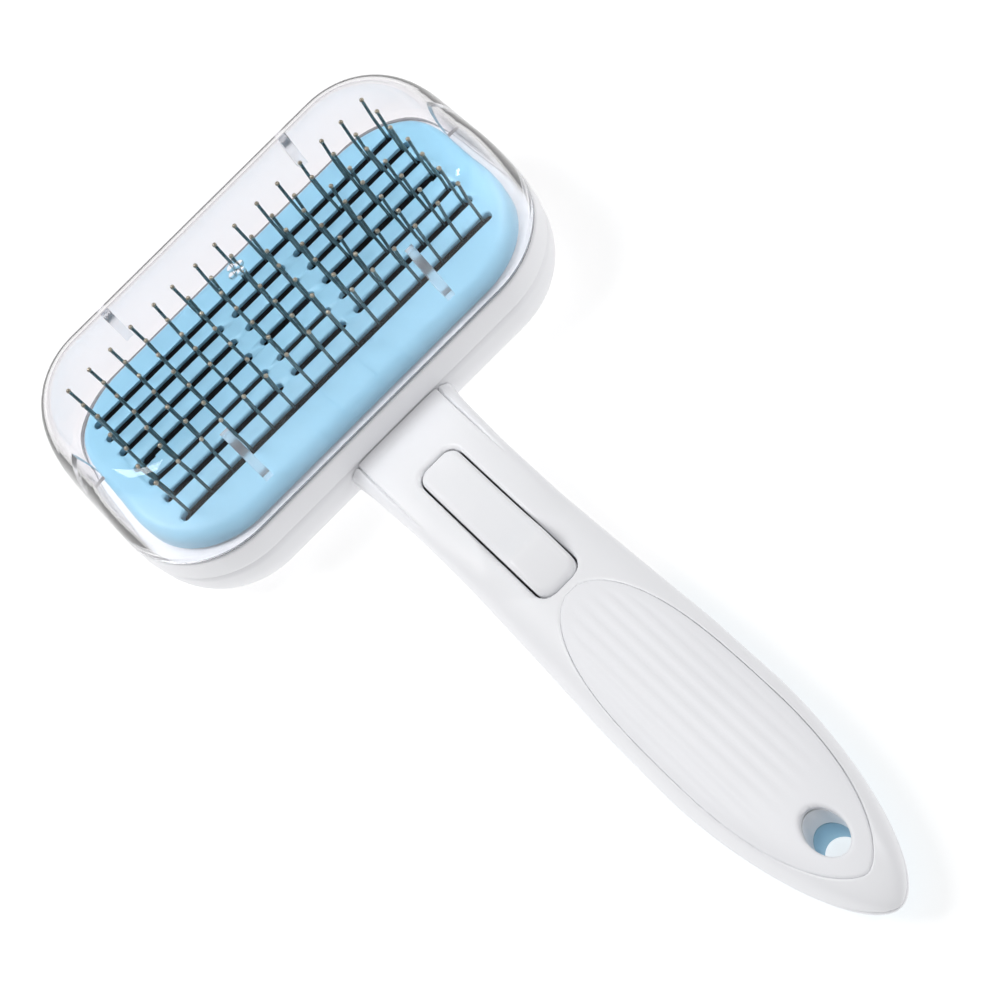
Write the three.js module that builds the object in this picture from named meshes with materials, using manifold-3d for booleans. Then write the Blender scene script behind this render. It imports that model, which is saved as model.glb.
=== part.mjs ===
// Self-cleaning slicker brush for pets, lying on its back with the pins up.
// Millimetres, +Z up. The long axis runs along Y with the head at +Y.
// Heights below are measured from the shoulder that the clear cover stands on,
// and the whole brush is moved at the end so that the origin is the bottom centre of its box.
import * as THREE from "three";
import { mergeVertices } from "three/addons/utils/BufferGeometryUtils.js";
import Module from "manifold-3d";

const wasm = await Module();
wasm.setup();

// ---- Driving dimensions ----
const HEAD_HALF_X = 50;
const HEAD_HALF_Y = 25.5;
const HEAD_CORNER = 19.5;
const BAND_LOW = -6.3;
const BACK_LOW = -21;
const WALL = 2;
const GAP = 0.3;

const COVER_TOP = 24;
const COVER_WALL = 1.3;
const COVER_RIB_THICKNESS = 1.75;
const COVER_RIB_DEPTH = 2.5;
const COVER_RIB_X = 23;

const PLATE_HALF_X = 46.2;
const PLATE_HALF_Y = 23.2;
const PLATE_CREST = 6.6;
const PLATE_CROWN = 0.006;
const PLATE_THICKNESS = 1.6;
const PLATE_LOW = 0.8;
const PLATE_EDGE_ROUND = 2.5;

const ROW_COUNT = 7;
const PINS_IN_ROW = 15;
const ROW_PITCH = 4.95;
const PIN_PITCH = 5.38;
const PIN_RADIUS = 0.32;
const PIN_KNEE = 12.3;
const PIN_TIP = 20.4;
const PIN_LEAN = THREE.MathUtils.degToRad(10);
const SLOT_WIDTH = 1.9;
const SLOT_HALF_LENGTH = 39.6;
const BRIDGE_X = 8.05;
const BRIDGE_WIDTH = 2.5;

const CARRIER_HALF_X = 42.4;
const CARRIER_HALF_Y = 19.4;
const CARRIER_TOP = 2.2;
const CARRIER_LOW = -1.8;
const STRIP_WIDTH = 1.8;
const STRIP_LOW = 0.3;
const STRIP_HALF_LENGTH = 38.3;

const RING_HALF_X = 44.3;
const RING_HALF_Y = 21.3;
const RING_WALL = 1.5;
const RING_TOP = 1.3;
const LEDGE_LOW = -4.4;
const LEDGE_START_X = 28;
const CARRIER_SCREW = { x: 33, y: 17.2 };
const SCREW_SHANK = 0.8;
const SCREW_HEAD = 2.2;
const SCREW_HEAD_HEIGHT = 1.4;

const POST = { x: 15, y: 17.5, radius: 1.3 };
const LIFT_FRAME_TOP = -8.6;
const LIFT_FRAME_LOW = -10.6;
const LIFT_FRAME_HALF_X = 17.8;
const LIFT_FRAME_HALF_Y = 19.6;

const HANDLE_TIP_Y = -159;
const HANDLE_WIDEST_Y = -115;
const HANDLE_START_Y = -20;
const HANDLE_MIDDLE_Z = -12;
const HANDLE_SQUARENESS = 2.4;
const HANDLE_TOP_SQUARENESS = [[-20, 6.5], [-30, 5.5], [-62, 2.4]];
const SHELL_WALL = 1.8;
const HANDLE_HALF_WIDTHS = [[-20, 13.5], [-28, 12.3], [-42, 11.7], [-58, 11.8], [-78, 12.6], [-98, 13.55], [-115, 13.75]];
const HANDLE_TOPS = [[-20, -6.75], [-45, -6.65], [-75, -5.2], [-98, -3.6], [-115, -3.3]];
const HANDLE_LOWS = [[-20, -19.6], [-45, -19.6], [-75, -20.4], [-98, -20.9], [-115, -21]];
const PARTING = [[-20, -9], [-52, -12], [-175, -12]];

const FRONT_GRIP_HALF_WIDTHS = [
  [-77.6, 0], [-78.9, 3.2], [-81.3, 5.9], [-87, 8.6], [-95, 9.9], [-107, 10.9], [-118, 11.2],
  [-124.5, 11], [-134, 10], [-142.5, 7.9], [-148.4, 5.3], [-151.9, 2.5], [-153, 0],
];
const FRONT_GRIP_DEPTH = 1.2;
const REAR_GRIP_DEPTH = 2.2;
const REAR_GRIP_START_Y = -80;
const GRIP_START_Y = -76.8;
const GRIP_BED_WALL = 1.5;
const SET_BACK = 0.15;
const REAR_GRIP_TOP = -14.6;
const HANG_HOLE = { y: -143.6, halfX: 3.4, halfY: 4.7, boss: 1.3, meet: -12.7 };

const PIVOT_Y = -33;
const PIVOT_Z = -13.2;
const PIVOT_RADIUS = 1.2;
const PIVOT_HALF_LENGTH = 9;

const LEVER_WINDOW = { halfX: 7.2, low: -16.4, high: -9.8 };
const BUTTON_HALF_WIDTH = 4.45;
const BUTTON_GAP = 0.4;
const BUTTON_START_Y = -36.6;
const BUTTON_END_Y = -75.2;
const BUTTON_CREST_Y = -66.5;
const BUTTON_CREST_Z = -2;
const HANDLE_SCREW_YS = [-92, -126];
const HANDLE_SCREW_LOW = -18.2;
const HANDLE_SCREW_TOP = -8.7;
const HANDLE_BOSS = 3.2;
const HANDLE_BOSS_MEET = -13;

// ---- Colours and finishes ----
const WHITE_PLASTIC = { color: 0xf1f2f4, roughness: 0.38, metalness: 0 };
const WHITE_RUBBER = { color: 0xeff0f2, roughness: 0.6, metalness: 0 };
const BLUE_PLASTIC = { color: 0x9fcfe6, roughness: 0.42, metalness: 0 };
const BLUE_RUBBER = { color: 0xa6cfe2, roughness: 0.65, metalness: 0 };
const CLEAR_PLASTIC = { color: 0xf4f9fb, roughness: 0.05, metalness: 0, transparent: true, opacity: 0.25 };
const BLACK_PLASTIC = { color: 0x17191b, roughness: 0.6, metalness: 0 };
const GREY_PLASTIC = { color: 0xb9bdc2, roughness: 0.5, metalness: 0 };
const STEEL = { color: 0x8f958f, roughness: 0.3, metalness: 1 };

const brush = new THREE.Group();
brush.name = "slicker_brush";

// ---- Shared geometry helpers ----
function asSolid(geometry) {
  const bare = geometry.clone();
  for (const name of Object.keys(bare.attributes)) {
    if (name !== "position") {
      bare.deleteAttribute(name);
    }
  }
  const merged = mergeVertices(bare, 1e-5);
  const vertProperties = new Float32Array(merged.attributes.position.array);
  const triVerts = new Uint32Array(merged.index.array);
  return new wasm.Manifold(new wasm.Mesh({ numProp: 3, vertProperties, triVerts }));
}

function asGeometry(solid) {
  const mesh = solid.getMesh();
  const geometry = new THREE.BufferGeometry();
  geometry.setAttribute("position", new THREE.BufferAttribute(new Float32Array(mesh.vertProperties), 3));
  geometry.setIndex(new THREE.BufferAttribute(new Uint32Array(mesh.triVerts), 1));
  geometry.computeVertexNormals();
  return geometry;
}

// Adds one body to the brush, without the thin flakes that a cut can leave beside it.
function place(name, solid, finish) {
  const [body] = solid.decompose().sort((a, b) => b.volume() - a.volume());
  const mesh = new THREE.Mesh(asGeometry(body), new THREE.MeshStandardMaterial(finish));
  mesh.name = name;
  brush.add(mesh);
}

// Joins a stack of closed rings, each a list of Vector3 with the same count, into one solid.
function loft(rings) {
  const count = rings[0].length;
  const positions = rings.flat().flatMap((point) => [point.x, point.y, point.z]);
  const index = [];
  for (let level = 0; level < rings.length - 1; level += 1) {
    for (let step = 0; step < count; step += 1) {
      const a = level * count + step;
      const b = level * count + ((step + 1) % count);
      index.push(a, b, b + count, a, b + count, a + count);
    }
  }
  for (const [level, flip] of [[0, true], [rings.length - 1, false]]) {
    const middle = new THREE.Vector3();
    rings[level].forEach((point) => middle.add(point));
    middle.divideScalar(count);
    const hub = positions.length / 3;
    positions.push(middle.x, middle.y, middle.z);
    for (let step = 0; step < count; step += 1) {
      const a = level * count + step;
      const b = level * count + ((step + 1) % count);
      index.push(hub, flip ? b : a, flip ? a : b);
    }
  }
  const geometry = new THREE.BufferGeometry();
  geometry.setAttribute("position", new THREE.Float32BufferAttribute(positions, 3));
  geometry.setIndex(index);
  return asSolid(geometry);
}

function box(x0, x1, y0, y1, z0, z1) {
  const geometry = new THREE.BoxGeometry(x1 - x0, y1 - y0, z1 - z0);
  geometry.translate((x0 + x1) / 2, (y0 + y1) / 2, (z0 + z1) / 2);
  return asSolid(geometry);
}

function uprightCylinder(x, y, radius, z0, z1, sides = 10) {
  const geometry = new THREE.CylinderGeometry(radius, radius, z1 - z0, sides);
  geometry.rotateX(Math.PI / 2);
  geometry.translate(x, y, (z0 + z1) / 2);
  return asSolid(geometry);
}

function crossCylinder(y, z, radius, halfLength, sides = 12) {
  const geometry = new THREE.CylinderGeometry(radius, radius, halfLength * 2, sides);
  geometry.rotateZ(Math.PI / 2);
  geometry.translate(0, y, z);
  return asSolid(geometry);
}

// A prism standing on an outline of [x, y] points.
function uprightPrism(outline, z0, z1) {
  const shape = new THREE.Shape(outline.map(([x, y]) => new THREE.Vector2(x, y)));
  const geometry = new THREE.ExtrudeGeometry(shape, { depth: z1 - z0, bevelEnabled: false, curveSegments: 6 });
  geometry.translate(0, 0, z0);
  return asSolid(geometry);
}

// A prism across the brush, from an outline of [y, z] points.
function crossPrism(outline, halfWidth) {
  const shape = new THREE.Shape(outline.map(([y, z]) => new THREE.Vector2(y, z)));
  const geometry = new THREE.ExtrudeGeometry(shape, { depth: halfWidth * 2, bevelEnabled: false });
  const turn = new THREE.Matrix4().makeBasis(
    new THREE.Vector3(0, 1, 0), new THREE.Vector3(0, 0, 1), new THREE.Vector3(1, 0, 0));
  geometry.translate(0, 0, -halfWidth);
  geometry.applyMatrix4(turn);
  return asSolid(geometry);
}

function ovalOutline(centreY, halfX, halfY, sides = 16) {
  const points = [];
  for (let step = 0; step < sides; step += 1) {
    const angle = (2 * Math.PI * step) / sides;
    points.push([halfX * Math.cos(angle), centreY + halfY * Math.sin(angle)]);
  }
  return points;
}

function headOutline(halfX, halfY, corner, cornerSteps = 5) {
  const points = [];
  const centres = [[1, 1, 0], [-1, 1, 90], [-1, -1, 180], [1, -1, 270]];
  for (const [signX, signY, start] of centres) {
    for (let step = 0; step <= cornerSteps; step += 1) {
      const angle = THREE.MathUtils.degToRad(start + (90 * step) / cornerSteps);
      const x = signX * (halfX - corner) + corner * Math.cos(angle);
      const y = signY * (halfY - corner) + corner * Math.sin(angle);
      points.push([x, y]);
    }
  }
  return points;
}

// The head's rounded outline, drawn in by inset, as a ring at one height.
function headRing(inset, z) {
  const corner = Math.max(HEAD_CORNER - inset, 3);
  const outline = headOutline(HEAD_HALF_X - inset, HEAD_HALF_Y - inset, corner);
  return outline.map(([x, y]) => new THREE.Vector3(x, y, z));
}

function headPrism(halfX, halfY, z0, z1) {
  const corner = HEAD_CORNER - (HEAD_HALF_Y - halfY);
  return uprightPrism(headOutline(halfX, halfY, corner), z0, z1);
}

// Straight-line lookup in a table of [y, value] pairs that runs from the head to the tip.
function between(table, y) {
  for (let step = 0; step < table.length - 1; step += 1) {
    const [y0, v0] = table[step];
    const [y1, v1] = table[step + 1];
    if (y <= y0 && y >= y1) {
      return v0 + ((v1 - v0) * (y - y0)) / (y1 - y0);
    }
  }
  return y > table[0][0] ? table[0][1] : table[table.length - 1][1];
}

// ---- Handle body: width, crest and belly along its length ----
function tipShare(y) {
  return THREE.MathUtils.clamp((HANDLE_WIDEST_Y - y) / (HANDLE_WIDEST_Y - HANDLE_TIP_Y), 0, 1);
}

function handleRing(y, inset) {
  const share = tipShare(y);
  const narrowing = Math.pow(1 - Math.pow(share, 1.8), 0.55);
  const thinning = Math.pow(1 - Math.pow(share, 2.6), 0.5);
  const halfWidth = Math.max(between(HANDLE_HALF_WIDTHS, y) * narrowing - inset, 0.4);
  const rise = Math.max((between(HANDLE_TOPS, y) - HANDLE_MIDDLE_Z) * thinning - inset, 0.3);
  const drop = Math.max((HANDLE_MIDDLE_Z - between(HANDLE_LOWS, y)) * thinning - inset, 0.3);
  const ring = [];
  const sides = 18;
  for (let step = 0; step < sides; step += 1) {
    const angle = (2 * Math.PI * step) / sides;
    const cos = Math.cos(angle);
    const sin = Math.sin(angle);
    const squareness = sin > 0 ? between(HANDLE_TOP_SQUARENESS, y) : HANDLE_SQUARENESS;
    const x = halfWidth * Math.sign(cos) * Math.pow(Math.abs(cos), 2 / squareness);
    const z = (sin > 0 ? rise : drop) * Math.sign(sin) * Math.pow(Math.abs(sin), 2 / squareness);
    ring.push(new THREE.Vector3(x, y, HANDLE_MIDDLE_Z + z));
  }
  return ring;
}

function handleBody(inset) {
  const rings = [];
  for (let y = HANDLE_START_Y; y > -134; y -= 15.5) {
    const ring = handleRing(y, inset);
    if (y === HANDLE_START_Y) {
      ring.forEach((point) => point.setY(y + inset));
    }
    rings.push(ring);
  }
  for (const share of [0.55, 0.7, 0.82, 0.91, 0.97, 1]) {
    const y = HANDLE_WIDEST_Y + (HANDLE_TIP_Y - HANDLE_WIDEST_Y) * share;
    const pulledIn = y + inset * Math.pow(share, 6);
    const ring = handleRing(y, inset);
    ring.forEach((point) => point.setY(pulledIn));
    rings.push(ring);
  }
  return loft(rings);
}

function frontRegion(shift) {
  const edge = PARTING.map(([y, z]) => [y, z + shift]);
  return crossPrism([...edge, [PARTING[2][0], 30], [PARTING[0][0], 30]], 40);
}

function backRegion(shift) {
  const edge = PARTING.map(([y, z]) => [y, z - shift]);
  return crossPrism([[PARTING[0][0], -40], ...edge, [PARTING[2][0], -40]], 40);
}

function hangHole(extra, z0, z1) {
  const outline = ovalOutline(HANG_HOLE.y, HANG_HOLE.halfX + extra, HANG_HOLE.halfY + extra);
  return uprightPrism(outline, z0, z1);
}

const handleSkin = handleBody(0);
const neckHollow = handleBody(SHELL_WALL).intersect(box(-20, 20, GRIP_START_Y, 0, -30, 10));
const backHollow = neckHollow.add(handleBody(REAR_GRIP_DEPTH + GAP + GRIP_BED_WALL));
const frontHollow = neckHollow.add(handleBody(FRONT_GRIP_DEPTH + 2 * GAP + GRIP_BED_WALL));

// ---- Bowl of the head, below the band ----
function bowl(inset) {
  const rings = [];
  const depth = BAND_LOW - GAP - BACK_LOW;
  for (const share of [0, 0.4, 0.7, 0.88, 0.97, 1]) {
    const drawn = 16 * (1 - Math.pow(1 - Math.pow(share, 2.6), 1 / 2.6));
    rings.unshift(headRing(0.3 + drawn + inset, BAND_LOW - GAP - depth * share + (share > 0 ? inset * share : 0)));
  }
  return loft(rings);
}

function pivotEars(pinClearance) {
  let ears = box(-8.2, -6.4, PIVOT_Y - 3, PIVOT_Y + 3, -19.4, PIVOT_Z + 2.6);
  ears = ears.add(box(6.4, 8.2, PIVOT_Y - 3, PIVOT_Y + 3, -19.4, PIVOT_Z + 2.6));
  ears = ears.intersect(handleBody(SHELL_WALL / 2));
  return ears.subtract(crossCylinder(PIVOT_Y, PIVOT_Z, PIVOT_RADIUS + pinClearance, 12));
}

function rearGripRegion(extra) {
  const region = box(-20, 20, HANDLE_TIP_Y - 5, REAR_GRIP_START_Y + extra, -30, REAR_GRIP_TOP + extra);
  return region;
}

function backShell() {
  const bowlSkin = bowl(0);
  const bowlHollow = bowl(WALL).add(box(-44, 44, -19, 19, -12, BAND_LOW + 5));
  let shell = bowlSkin.add(handleSkin.intersect(backRegion(GAP / 2)));
  shell = shell.subtract(bowlHollow);
  shell = shell.subtract(backHollow);
  shell = shell.subtract(box(-LEVER_WINDOW.halfX, LEVER_WINDOW.halfX, -30, -15, LEVER_WINDOW.low, LEVER_WINDOW.high));
  const gripBed = handleSkin.subtract(handleBody(REAR_GRIP_DEPTH + GAP)).intersect(rearGripRegion(GAP));
  shell = shell.subtract(gripBed);
  shell = shell.add(pivotEars(GAP));
  for (const y of HANDLE_SCREW_YS) {
    const boss = uprightCylinder(0, y, HANDLE_BOSS, -25, HANDLE_BOSS_MEET - GAP / 2);
    shell = shell.add(boss.intersect(handleBody(REAR_GRIP_DEPTH + GAP + SET_BACK)));
    shell = shell.subtract(uprightCylinder(0, y, SCREW_SHANK + GAP, -25, 0));
    shell = shell.subtract(uprightCylinder(0, y, SCREW_HEAD + GAP, -25, HANDLE_SCREW_LOW + SCREW_HEAD_HEIGHT + GAP));
  }
  shell = shell.subtract(hangHole(HANG_HOLE.boss + GAP, -30, 0));
  place("back_shell", shell, WHITE_PLASTIC);
}

// The outline of the front grip, moved outwards by extra.
function frontGripOutline(extra) {
  const right = FRONT_GRIP_HALF_WIDTHS.map(([y, halfWidth]) => [halfWidth, y]);
  const left = right.slice(1, -1).reverse().map(([x, y]) => [-x, y]);
  const outline = [...right, ...left].reverse();
  return outline.map(([x, y], step) => {
    const [beforeX, beforeY] = outline[(step + outline.length - 1) % outline.length];
    const [afterX, afterY] = outline[(step + 1) % outline.length];
    const along = new THREE.Vector2(afterX - beforeX, afterY - beforeY).normalize();
    return [x + along.y * extra, y - along.x * extra];
  });
}

function buttonOpening() {
  const halfWidth = BUTTON_HALF_WIDTH + BUTTON_GAP;
  const outline = [
    [-halfWidth, BUTTON_START_Y - 1.2], [-halfWidth + 1.6, BUTTON_START_Y + BUTTON_GAP],
    [halfWidth - 1.6, BUTTON_START_Y + BUTTON_GAP], [halfWidth, BUTTON_START_Y - 1.2],
    [halfWidth, BUTTON_END_Y + 1.2], [halfWidth * 0.55, BUTTON_END_Y - BUTTON_GAP],
    [-halfWidth * 0.55, BUTTON_END_Y - BUTTON_GAP], [-halfWidth, BUTTON_END_Y + 1.2],
  ];
  return uprightPrism(outline, -14, 5);
}

function handleFront() {
  let shell = handleSkin.subtract(frontHollow).intersect(frontRegion(GAP / 2));
  shell = shell.subtract(bowl(-GAP));
  const bed = handleSkin.subtract(handleBody(FRONT_GRIP_DEPTH + 2 * GAP));
  const bedRegion = uprightPrism(frontGripOutline(1.3 * GAP), HANDLE_MIDDLE_Z + 2, 10);
  shell = shell.subtract(bed.intersect(bedRegion));
  shell = shell.subtract(buttonOpening());
  const boss = hangHole(HANG_HOLE.boss, HANG_HOLE.meet + GAP / 2, 10);
  shell = shell.add(boss.intersect(handleBody(FRONT_GRIP_DEPTH + 2 * GAP + SET_BACK)));
  for (const y of HANDLE_SCREW_YS) {
    shell = shell.add(uprightCylinder(0, y, HANDLE_BOSS, HANDLE_BOSS_MEET + GAP / 2, -6));
    shell = shell.subtract(uprightCylinder(0, y, SCREW_SHANK + GAP, -20, HANDLE_SCREW_TOP + GAP));
  }
  shell = shell.subtract(hangHole(0, -30, 10));
  place("handle_front", shell, WHITE_PLASTIC);
}

function frontGrip() {
  let pad = handleSkin.subtract(handleBody(FRONT_GRIP_DEPTH));
  pad = pad.intersect(uprightPrism(frontGripOutline(0), HANDLE_MIDDLE_Z + 2.5, 10));
  pad = pad.subtract(hangHole(0, -30, 10));
  place("front_grip", pad, WHITE_RUBBER);
}

function rearGrip() {
  let pad = handleSkin.subtract(handleBody(REAR_GRIP_DEPTH)).intersect(rearGripRegion(0));
  const boss = hangHole(HANG_HOLE.boss, -30, HANG_HOLE.meet - GAP / 2);
  pad = pad.add(boss.intersect(handleBody(SET_BACK)));
  pad = pad.subtract(hangHole(0, -30, 10));
  place("rear_grip", pad, BLUE_RUBBER);
}

// ---- Head band: shoulder for the cover, ring for the plate and ledges for the pin carrier ----
function headFrame() {
  const outer = loft([headRing(0.3, BAND_LOW), headRing(0, BAND_LOW + 1.5), headRing(0, -0.5), headRing(0.4, 0)]);
  const ring = headPrism(RING_HALF_X, RING_HALF_Y, BAND_LOW, RING_TOP);
  const hollow = headPrism(RING_HALF_X - RING_WALL, RING_HALF_Y - RING_WALL, -30, 30);
  let frame = outer.add(ring).subtract(hollow);
  const ledge = headPrism(RING_HALF_X - 0.5, RING_HALF_Y - 0.5, LEDGE_LOW, CARRIER_LOW - GAP);
  frame = frame.add(ledge.subtract(box(-LEDGE_START_X, LEDGE_START_X, -30, 30, -10, 10)));
  for (const [x, y] of carrierScrewPlaces()) {
    frame = frame.subtract(uprightCylinder(x, y, SCREW_SHANK + GAP, -10, 5));
    frame = frame.subtract(uprightCylinder(x, y, SCREW_HEAD + GAP, -10, LEDGE_LOW));
  }
  place("head_frame", frame, WHITE_PLASTIC);
}

function carrierScrewPlaces() {
  const { x, y } = CARRIER_SCREW;
  return [[-x, y], [x, y], [-x, -y], [x, -y]];
}

function postPlaces() {
  const { x, y } = POST;
  return [[-x, y], [x, y], [-x, -y], [x, -y]];
}

function rowY(row) {
  return ((ROW_COUNT - 1) / 2 - row) * ROW_PITCH;
}

// ---- Pin carrier and the rows of pins ----
function pinCarrier() {
  let carrier = headPrism(CARRIER_HALF_X, CARRIER_HALF_Y, CARRIER_LOW, CARRIER_TOP);
  for (let row = 0; row < ROW_COUNT; row += 1) {
    const reach = STRIP_HALF_LENGTH + GAP;
    const halfWidth = STRIP_WIDTH / 2 + GAP;
    const y = rowY(row);
    carrier = carrier.subtract(box(-reach, reach, y - halfWidth, y + halfWidth, STRIP_LOW - GAP, 5));
  }
  for (const [x, y] of carrierScrewPlaces()) {
    carrier = carrier.subtract(uprightCylinder(x, y, SCREW_SHANK + GAP, -5, 1.4, 12));
  }
  for (const [x, y] of postPlaces()) {
    carrier = carrier.subtract(uprightCylinder(x, y, POST.radius + GAP, -5, 5, 12));
  }
  place("pin_carrier", carrier, BLACK_PLASTIC);
}

// One wire: upright to the knee, then leaning towards the handle.
function pinWire(x, y) {
  const tipHeight = PIN_TIP - 0.004 * y * y;
  const reach = (tipHeight - PIN_KNEE) * Math.tan(PIN_LEAN);
  const levels = [[CARRIER_TOP - 0.6, 0], [PIN_KNEE, 0], [tipHeight, -reach]];
  const rings = levels.map(([z, shift]) => {
    const ring = [];
    for (let step = 0; step < 4; step += 1) {
      const angle = (2 * Math.PI * step) / 4;
      ring.push(new THREE.Vector3(
        x + PIN_RADIUS * Math.cos(angle), y + shift + PIN_RADIUS * Math.sin(angle), z));
    }
    return ring;
  });
  return loft(rings);
}

function pinRow(row) {
  const y = rowY(row);
  const halfWidth = STRIP_WIDTH / 2;
  let strip = box(-STRIP_HALF_LENGTH, STRIP_HALF_LENGTH, y - halfWidth, y + halfWidth, STRIP_LOW, CARRIER_TOP);
  for (let pin = 0; pin < PINS_IN_ROW; pin += 1) {
    strip = strip.add(pinWire((pin - (PINS_IN_ROW - 1) / 2) * PIN_PITCH, y));
  }
  place(`pin_row_${row + 1}`, strip, STEEL);
}

function screw(name, x, y, headLow, shankTop, finish) {
  const head = uprightCylinder(x, y, SCREW_HEAD, headLow, headLow + SCREW_HEAD_HEIGHT);
  const slot = box(x - 1.4, x + 1.4, y - 0.25, y + 0.25, headLow - 1, headLow + 0.6);
  const shank = uprightCylinder(x, y, SCREW_SHANK, headLow + 0.5, shankTop, 8);
  place(name, head.add(shank).subtract(slot), finish);
}

// ---- Face plate that lifts the hair off the pins ----
function plateHeight(y) {
  return PLATE_CREST - PLATE_CROWN * y * y;
}

// The crowned block of the plate: upright sides and a top that falls away towards both long edges.
function plateSkin(inset, drop, low) {
  const halfX = PLATE_HALF_X - inset;
  const halfY = PLATE_HALF_Y - inset;
  const right = [];
  for (const y of [0, 6, 12, 17, halfY - PLATE_EDGE_ROUND]) {
    right.push([y, plateHeight(y) - drop]);
  }
  const edgeTop = plateHeight(halfY - PLATE_EDGE_ROUND) - drop;
  for (const degrees of [60, 30, 0]) {
    const angle = THREE.MathUtils.degToRad(degrees);
    const y = halfY - PLATE_EDGE_ROUND * (1 - Math.cos(angle));
    right.push([y, edgeTop - PLATE_EDGE_ROUND * (1 - Math.sin(angle))]);
  }
  right.push([halfY, low]);
  const left = right.slice(1).reverse().map(([y, z]) => [-y, z]);
  const crown = crossPrism([...left, ...right].reverse(), PLATE_HALF_X + 5);
  return crown.intersect(headPrism(halfX, halfY, low, PLATE_CREST + 5));
}

function slotCutter(x0, x1, y) {
  const half = SLOT_WIDTH / 2;
  const cut = box(x0 + half, x1 - half, y - half, y + half, -5, 15);
  return cut.add(uprightCylinder(x0 + half, y, half, -5, 15, 8)).add(uprightCylinder(x1 - half, y, half, -5, 15, 8));
}

function facePlate() {
  let plate = plateSkin(0, 0, PLATE_LOW).subtract(plateSkin(1.5, PLATE_THICKNESS, PLATE_LOW - 3));
  const bridgeHalf = BRIDGE_WIDTH / 2;
  for (let row = 0; row < ROW_COUNT; row += 1) {
    const isEdgeRow = row === 0 || row === ROW_COUNT - 1;
    const spans = isEdgeRow
      ? [[-SLOT_HALF_LENGTH, SLOT_HALF_LENGTH]]
      : [[-SLOT_HALF_LENGTH, -BRIDGE_X - bridgeHalf], [-BRIDGE_X + bridgeHalf, BRIDGE_X - bridgeHalf],
        [BRIDGE_X + bridgeHalf, SLOT_HALF_LENGTH]];
    for (const [x0, x1] of spans) {
      plate = plate.subtract(slotCutter(x0, x1, rowY(row)));
    }
  }
  for (const [x, y] of postPlaces()) {
    const top = plateHeight(y) - PLATE_THICKNESS + 0.5;
    plate = plate.add(uprightCylinder(x, y, POST.radius, LIFT_FRAME_TOP + GAP, top, 12));
    plate = plate.subtract(uprightCylinder(x, y, 0.5 + GAP, -15, -4.5, 8));
  }
  place("face_plate", plate, BLUE_PLASTIC);
}

function liftFrame() {
  let frame = box(-LIFT_FRAME_HALF_X, LIFT_FRAME_HALF_X, -LIFT_FRAME_HALF_Y, LIFT_FRAME_HALF_Y,
    LIFT_FRAME_LOW, LIFT_FRAME_TOP);
  frame = frame.subtract(box(-11.5, 11.5, 4.5, 14, -15, 0)).subtract(box(-11.5, 11.5, -14, -4.5, -15, 0));
  for (const [x, y] of postPlaces()) {
    frame = frame.subtract(uprightCylinder(x, y, 0.5 + GAP, -15, 0, 10));
  }
  place("lift_frame", frame, GREY_PLASTIC);
}

function liftScrews() {
  postPlaces().forEach(([x, y], order) => {
    const headTop = LIFT_FRAME_LOW - GAP;
    const head = uprightCylinder(x, y, 1.6, headTop - 1.2, headTop, 14);
    const slot = box(x - 1.1, x + 1.1, y - 0.22, y + 0.22, headTop - 2, headTop - 0.7);
    const shank = uprightCylinder(x, y, 0.5, headTop - 0.5, -4.9, 8);
    place(`lift_screw_${order + 1}`, head.add(shank).subtract(slot), STEEL);
  });
}

// ---- Springs: round wire along a helix ----
function coilSpring(name, x, y, radius, z0, z1, wire, turns) {
  class Helix extends THREE.Curve {
    getPoint(share, target = new THREE.Vector3()) {
      const angle = share * turns * 2 * Math.PI;
      return target.set(radius * Math.cos(angle), radius * Math.sin(angle), THREE.MathUtils.lerp(z0, z1, share));
    }
  }
  const section = new THREE.Shape();
  for (let step = 0; step < 4; step += 1) {
    const angle = (2 * Math.PI * step) / 4;
    const point = [wire * Math.cos(angle), wire * Math.sin(angle)];
    if (step === 0) {
      section.moveTo(...point);
    } else {
      section.lineTo(...point);
    }
  }
  section.closePath();
  const geometry = new THREE.ExtrudeGeometry(section, { steps: turns * 8, extrudePath: new Helix() });
  geometry.translate(x, y, 0);
  place(name, asSolid(geometry), STEEL);
}

// ---- Thumb button, lever and pivot ----
function thumbButton() {
  const reach = (z) => {
    const radius = 42.4;
    return PIVOT_Y - Math.sqrt(radius * radius - (z - PIVOT_Z) * (z - PIVOT_Z));
  };
  const under = -9.6;
  const outline = [
    [BUTTON_START_Y, under], [BUTTON_START_Y, -6.9], [BUTTON_START_Y - 1, -6.6], [-50, -6],
    [-58, -4.5], [-63, -2.9], [BUTTON_CREST_Y, BUTTON_CREST_Z], [-69.5, -2.5], [-72.5, -3.8],
    [reach(-4.9), -4.9], [reach(-7), -7], [reach(under), under],
  ];
  const sides = [
    [-BUTTON_HALF_WIDTH, BUTTON_START_Y - 1.4], [-BUTTON_HALF_WIDTH + 1.5, BUTTON_START_Y],
    [BUTTON_HALF_WIDTH - 1.5, BUTTON_START_Y], [BUTTON_HALF_WIDTH, BUTTON_START_Y - 1.4],
    [BUTTON_HALF_WIDTH, BUTTON_END_Y + 1.7], [BUTTON_HALF_WIDTH * 0.55, BUTTON_END_Y],
    [-BUTTON_HALF_WIDTH * 0.55, BUTTON_END_Y], [-BUTTON_HALF_WIDTH, BUTTON_END_Y + 1.7],
  ];
  const cap = crossPrism(outline, BUTTON_HALF_WIDTH).intersect(uprightPrism(sides, -20, 5));
  place("thumb_button", cap, WHITE_PLASTIC);
}

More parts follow.
